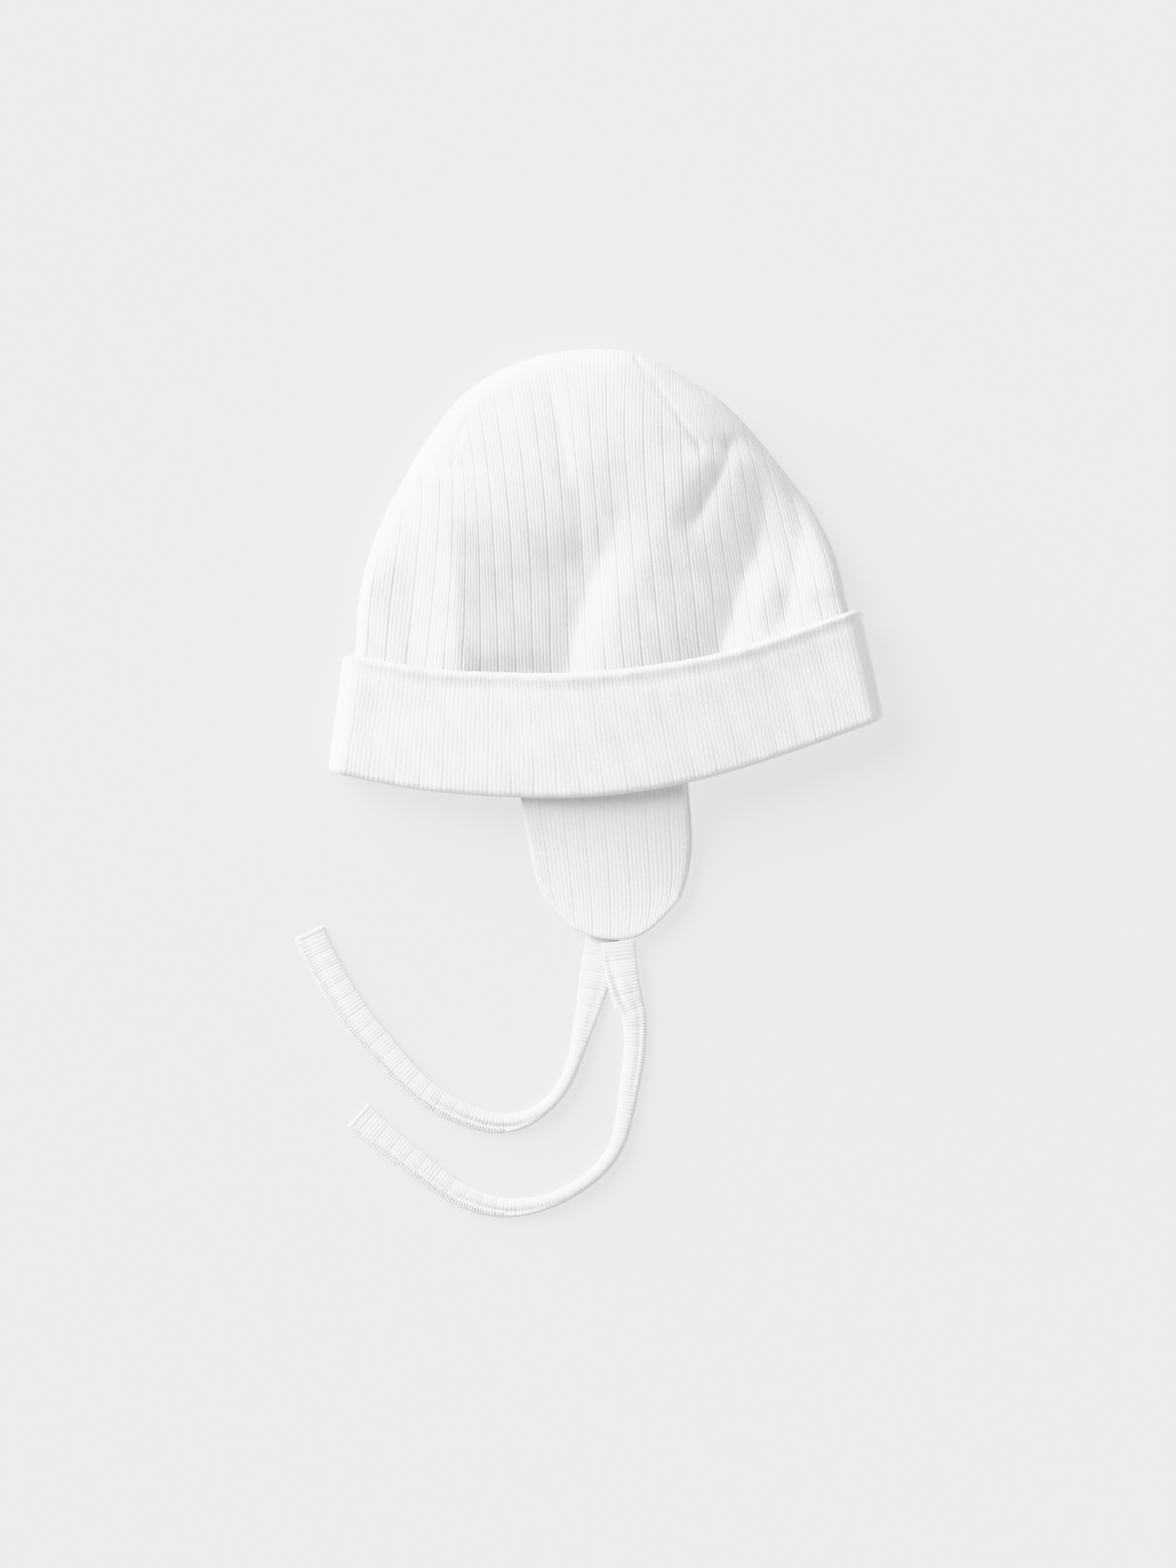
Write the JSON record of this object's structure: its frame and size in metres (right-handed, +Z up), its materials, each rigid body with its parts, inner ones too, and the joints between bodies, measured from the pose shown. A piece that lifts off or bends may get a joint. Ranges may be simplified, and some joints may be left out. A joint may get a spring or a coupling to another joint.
{
  "type": "nightcap",
  "caption": "Baby's rib-knit nightcap lying on its side, with a turned-up cuff, two ear flaps and two fabric ties.",
  "frame": {"origin": "on the table, under the middle of the box round the cap and its ear flaps, without the ties", "axes": "+Z up from the table, +Y from the mouth to the top of the crown, +X along the cuff to the right"},
  "size_m": [0.2009, 0.2969, 0.0254],
  "materials": {
    "rib_knit": "soft matt white cotton rib knit",
    "tie_knit": "soft matt white cotton rib knit"
  },
  "bodies": {
    "root": {"crown": "rib_knit", "cuff": "rib_knit", "ear_flap_upper": "rib_knit", "ear_flap_lower": "rib_knit", "tie_upper": "tie_knit", "tie_lower": "tie_knit"}
  },
  "joints": []
}
